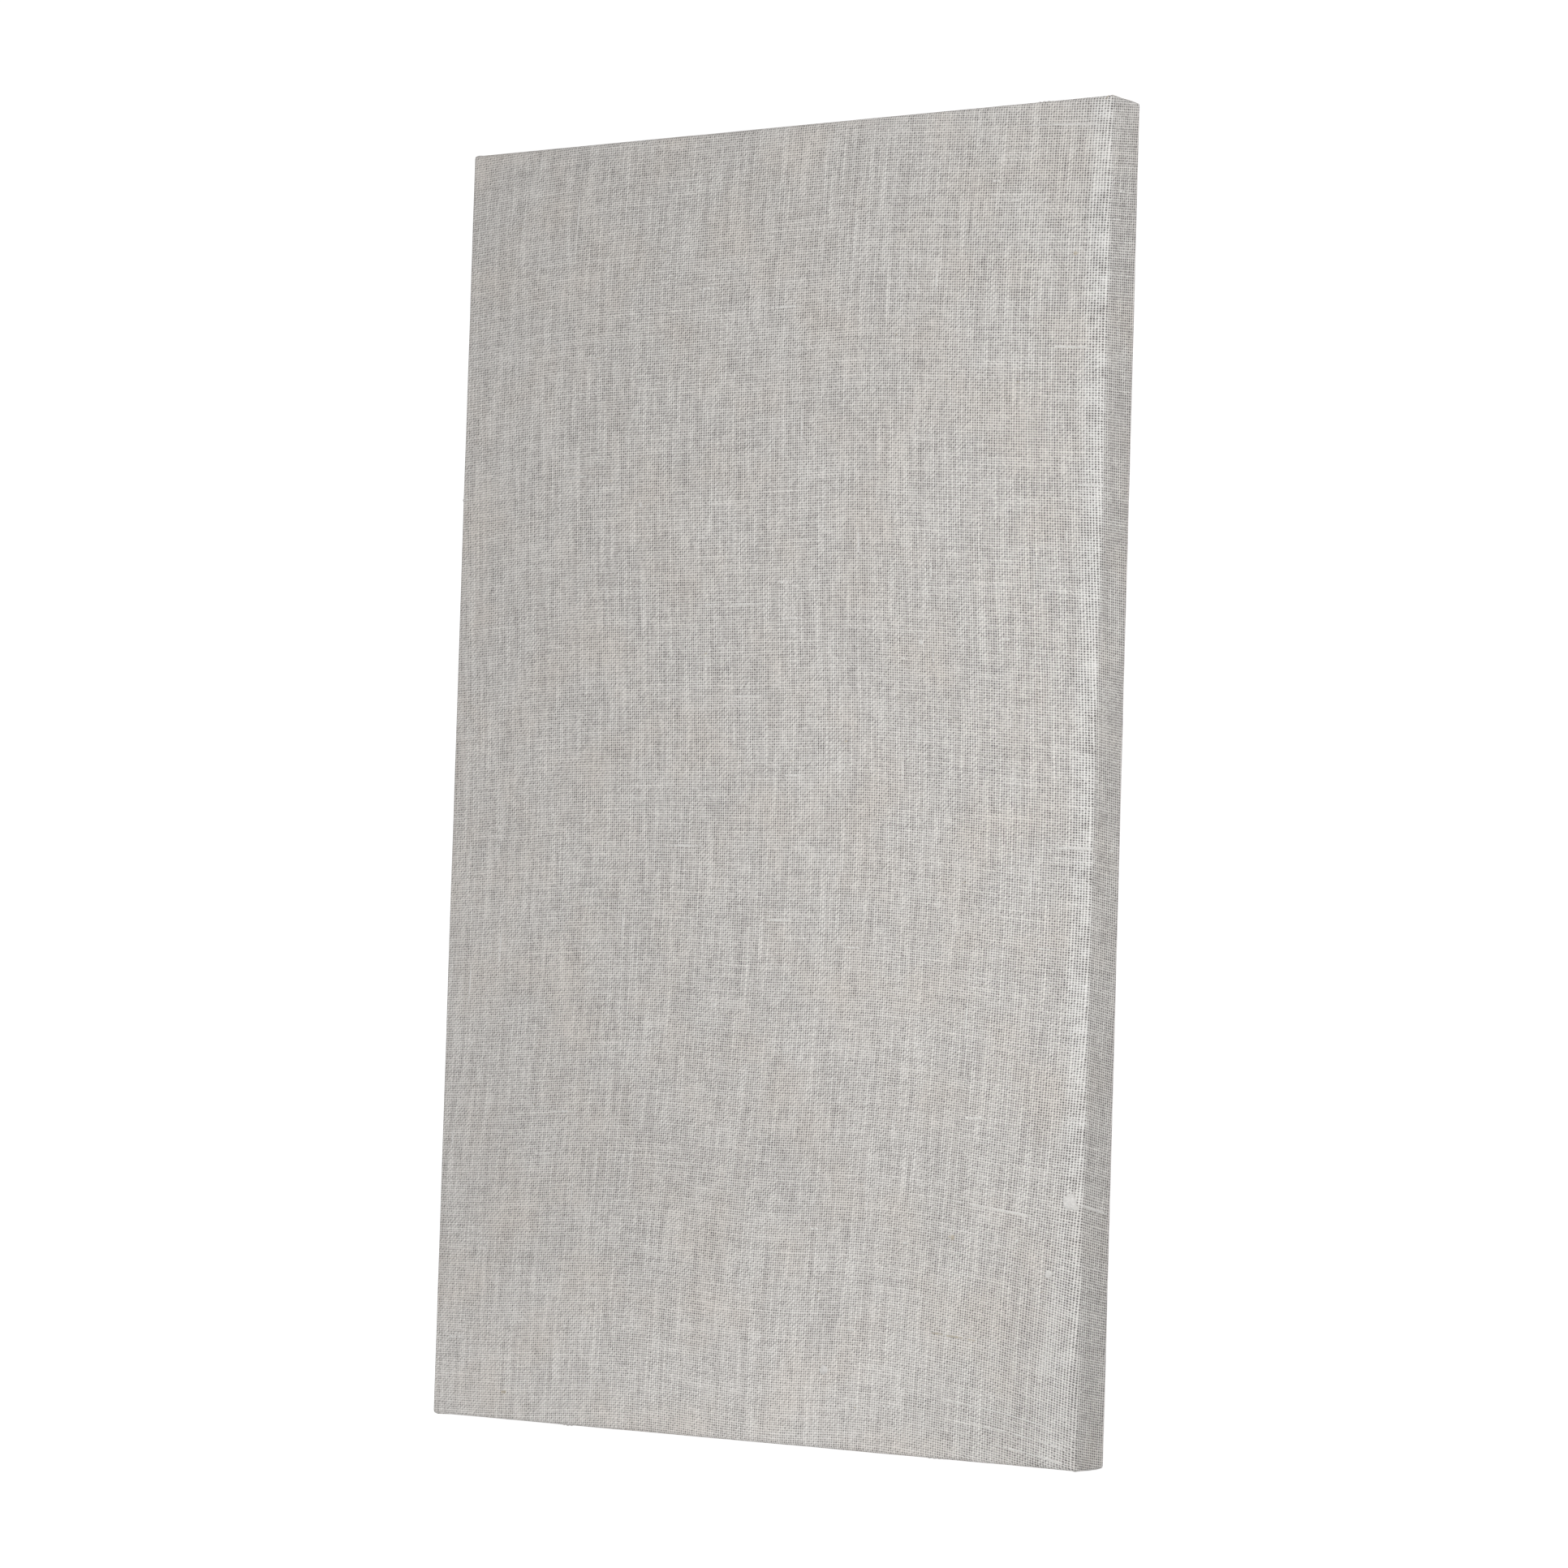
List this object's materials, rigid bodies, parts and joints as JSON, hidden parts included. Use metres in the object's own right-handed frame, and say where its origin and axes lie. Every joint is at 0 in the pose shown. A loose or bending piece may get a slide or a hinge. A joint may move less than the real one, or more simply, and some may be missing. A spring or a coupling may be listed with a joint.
{
  "type": "fabric acoustic wall panel",
  "caption": "Rectangular sound-absorbing wall panel: a mineral-wool slab wrapped in open-weave cloth, hemmed and mitred on the back.",
  "frame": {"origin": "middle of the panel's back face, at the level that it lies on", "axes": "+X across the width, +Y up the height as the panel hangs on a wall, +Z out of the cloth-covered front face"},
  "size_m": [0.6, 1, 0.04],
  "materials": {
    "cloth": "matt open plain weave of undyed slubby yarn",
    "mineral_wool": "matt, fibrous"
  },
  "bodies": {
    "root": {"fabric_cover": "cloth", "mineral_wool_core": "mineral_wool"}
  },
  "joints": []
}
